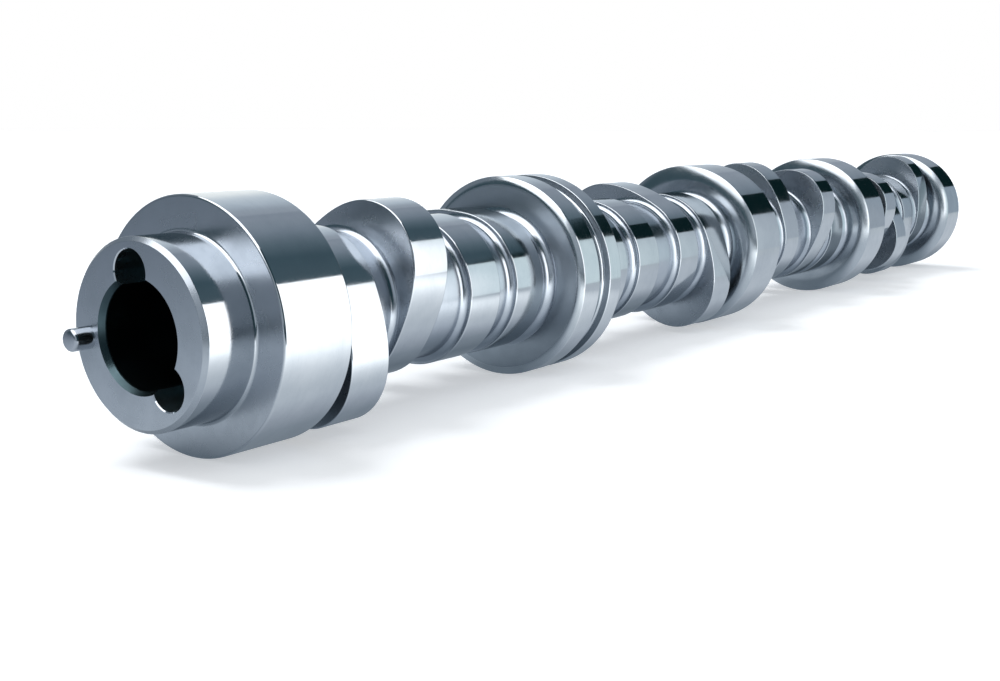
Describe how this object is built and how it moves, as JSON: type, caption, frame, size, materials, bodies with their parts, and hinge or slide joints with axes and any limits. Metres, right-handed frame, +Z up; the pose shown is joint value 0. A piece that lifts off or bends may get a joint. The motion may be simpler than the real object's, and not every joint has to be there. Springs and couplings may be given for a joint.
{
  "type": "camshaft",
  "caption": "Ground and polished camshaft for roller followers: round bearing journals, paired lobes between them, hollow nose with bolt holes and a locating dowel.",
  "frame": {"origin": "centre of the nose face, on the shaft's axis", "axes": "+X along the shaft from the nose to the rear end, +Z up with the shaft lying on its journals, +Y to the left of someone who looks from the nose to the rear"},
  "size_m": [0.4842, 0.055, 0.055],
  "materials": {
    "ground_steel": "ground and polished bare steel, cool grey",
    "pin_steel": "ground bare steel"
  },
  "bodies": {
    "root": {"camshaft": "ground_steel", "dowel_pin": "pin_steel"}
  },
  "joints": []
}
